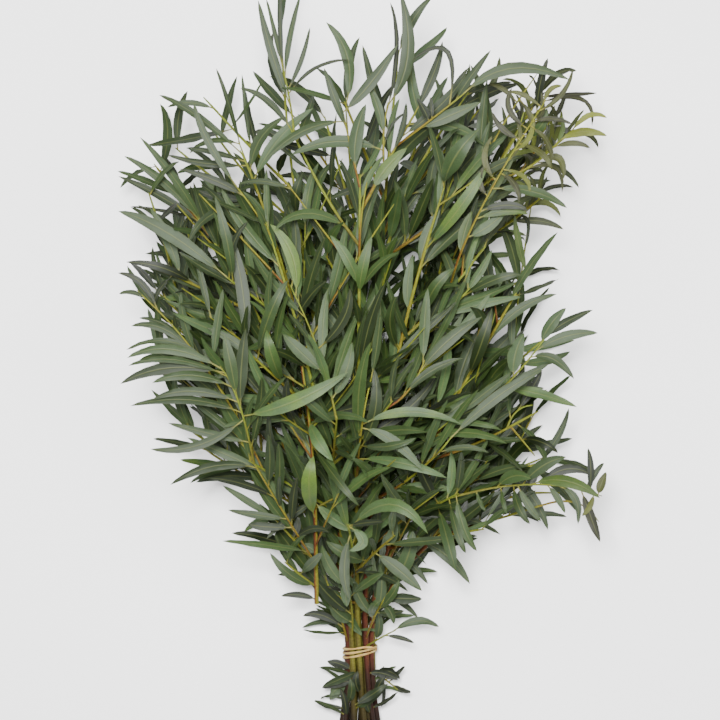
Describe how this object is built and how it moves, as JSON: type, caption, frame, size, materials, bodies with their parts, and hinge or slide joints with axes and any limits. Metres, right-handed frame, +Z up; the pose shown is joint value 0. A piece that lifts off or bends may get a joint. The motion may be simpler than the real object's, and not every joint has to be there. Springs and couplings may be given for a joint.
{
  "type": "tied bunch of willow eucalyptus",
  "caption": "Leafy willow-leaved eucalyptus branches gathered by a wound tan tie, with a loose cut sprig, lying on its side as a florist's bunch.",
  "frame": {"origin": "middle of the footprint, on the surface that the bunch lies on", "axes": "+Y along the bunch from the cut ends to the leafy tips, +Z up from the surface, +X to the right seen from above"},
  "size_m": [0.4948, 0.7868, 0.2321],
  "materials": {
    "branch": "matt grey-green leaves on thin yellow-green to red-brown stems",
    "young_branch": "soft yellow-green young leaves on brown stems",
    "tie": "dry tan natural strand"
  },
  "bodies": {
    "root": {"branch_01": "branch", "branch_02": "branch", "branch_03": "branch", "branch_04": "branch", "branch_05": "young_branch", "branch_06": "young_branch", "branch_07": "branch", "branch_08": "branch", "branch_09": "branch", "branch_10": "branch", "branch_11": "branch", "branch_12": "branch", "branch_13": "branch", "branch_14": "branch", "branch_15": "branch", "branch_16": "branch", "loose_sprig": "branch", "tie_band": "tie"}
  },
  "joints": []
}
